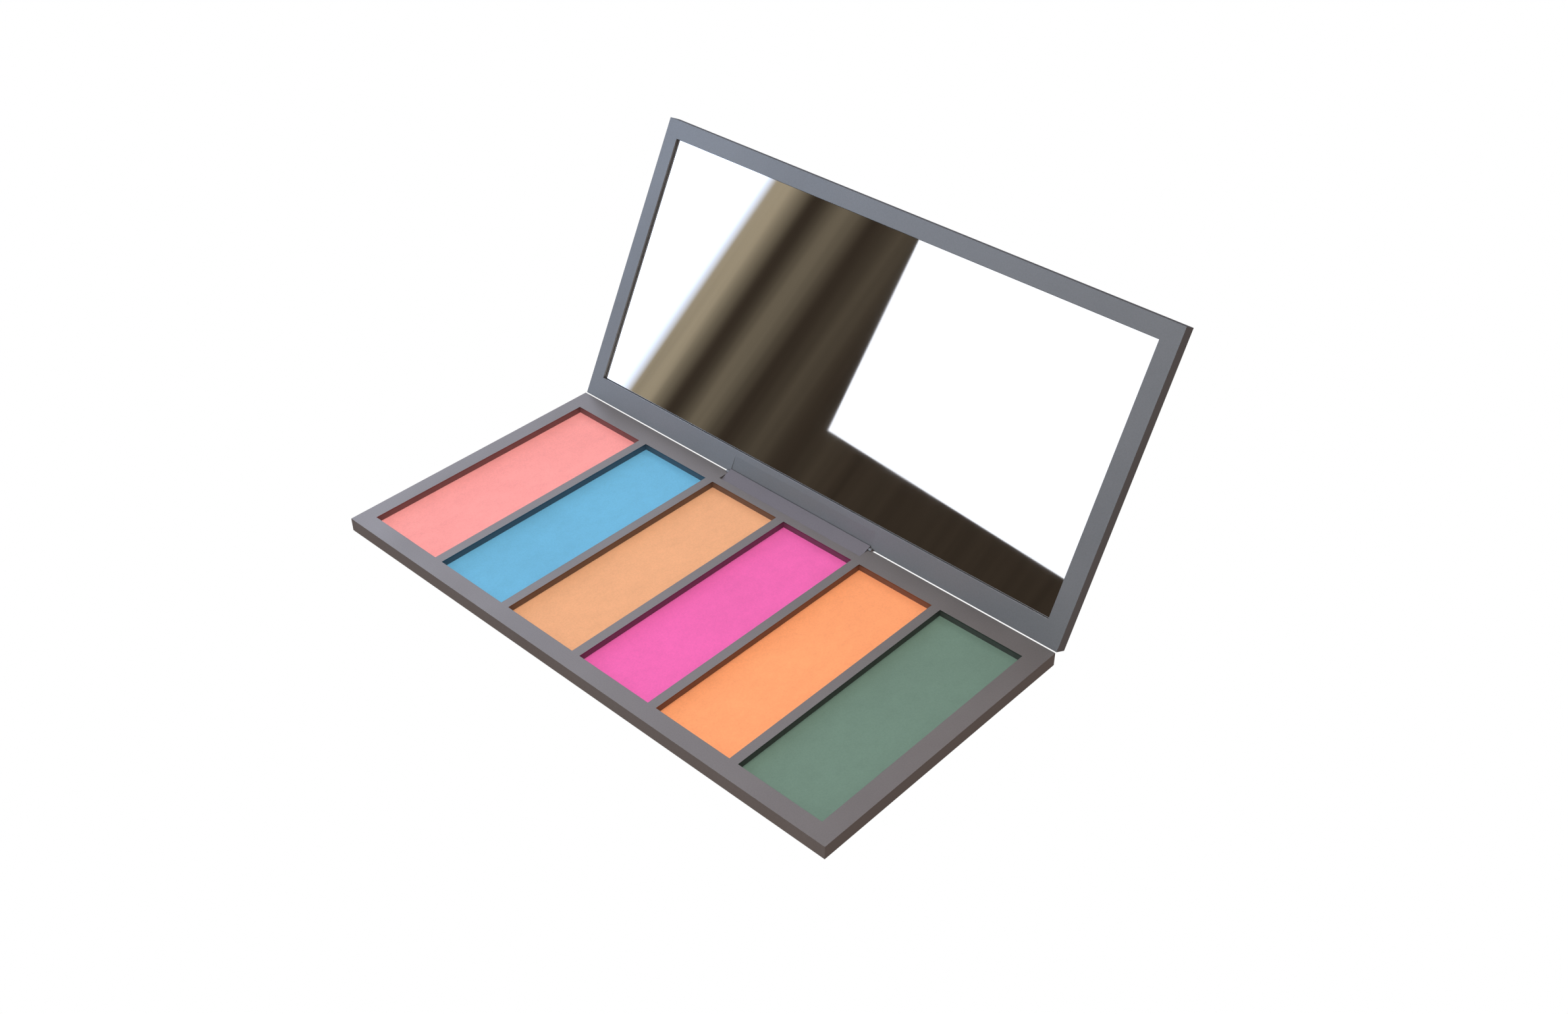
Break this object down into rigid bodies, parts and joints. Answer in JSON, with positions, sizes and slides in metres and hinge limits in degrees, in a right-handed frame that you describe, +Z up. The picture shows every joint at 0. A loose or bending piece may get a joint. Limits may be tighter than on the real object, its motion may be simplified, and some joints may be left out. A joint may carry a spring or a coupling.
{
  "type": "eyeshadow palette",
  "caption": "Slim rectangular eyeshadow palette with a row of long flush powder wells and a full-width mirror in a hinged lid, stored standing open.",
  "frame": {"origin": "centre of the flat underside of the base, on the table", "axes": "+X along the case to the user's right, +Y back to the hinge, +Z up out of the wells"},
  "size_m": [0.18, 0.1343, 0.083],
  "materials": {
    "case": "fine satin, cool grey",
    "case_panel": "fine satin, darker grey",
    "magnet": "nickel plated",
    "glue": "soft",
    "tape": "foam",
    "mirror": "polished",
    "steel": "ground",
    "tinplate": "pressed tinplate",
    "shade_salmon_pink": "matt pressed powder",
    "shade_sky_blue": "matt pressed powder",
    "shade_peach": "matt pressed powder",
    "shade_magenta_pink": "matt pressed powder",
    "shade_orange": "matt pressed powder",
    "shade_grey_green": "matt pressed powder"
  },
  "bodies": {
    "base": {"base_body": "case", "base_bottom_plate": "case_panel", "hinge_knuckle": "case", "base_magnets": "magnet", "pan_1": "tinplate", "pan_2": "tinplate", "pan_3": "tinplate", "pan_4": "tinplate", "pan_5": "tinplate", "pan_6": "tinplate", "pan_glue_pads": "glue", "powder_1": "shade_salmon_pink", "powder_2": "shade_sky_blue", "powder_3": "shade_peach", "powder_4": "shade_magenta_pink", "powder_5": "shade_orange", "powder_6": "shade_grey_green"},
    "lid": {"lid_body": "case", "lid_cover_plate": "case_panel", "mirror_glass": "mirror", "mirror_tape": "tape", "lid_magnets": "magnet", "hinge_pin": "steel"}
  },
  "joints": [
    {"name": "lid_hinge", "type": "hinge", "parent": "base", "child": "lid", "pos_m": [0, 0.04471, 0.004], "axis": [-1, 0, 0], "range_deg": [-117.5, 57.5]}
  ]
}
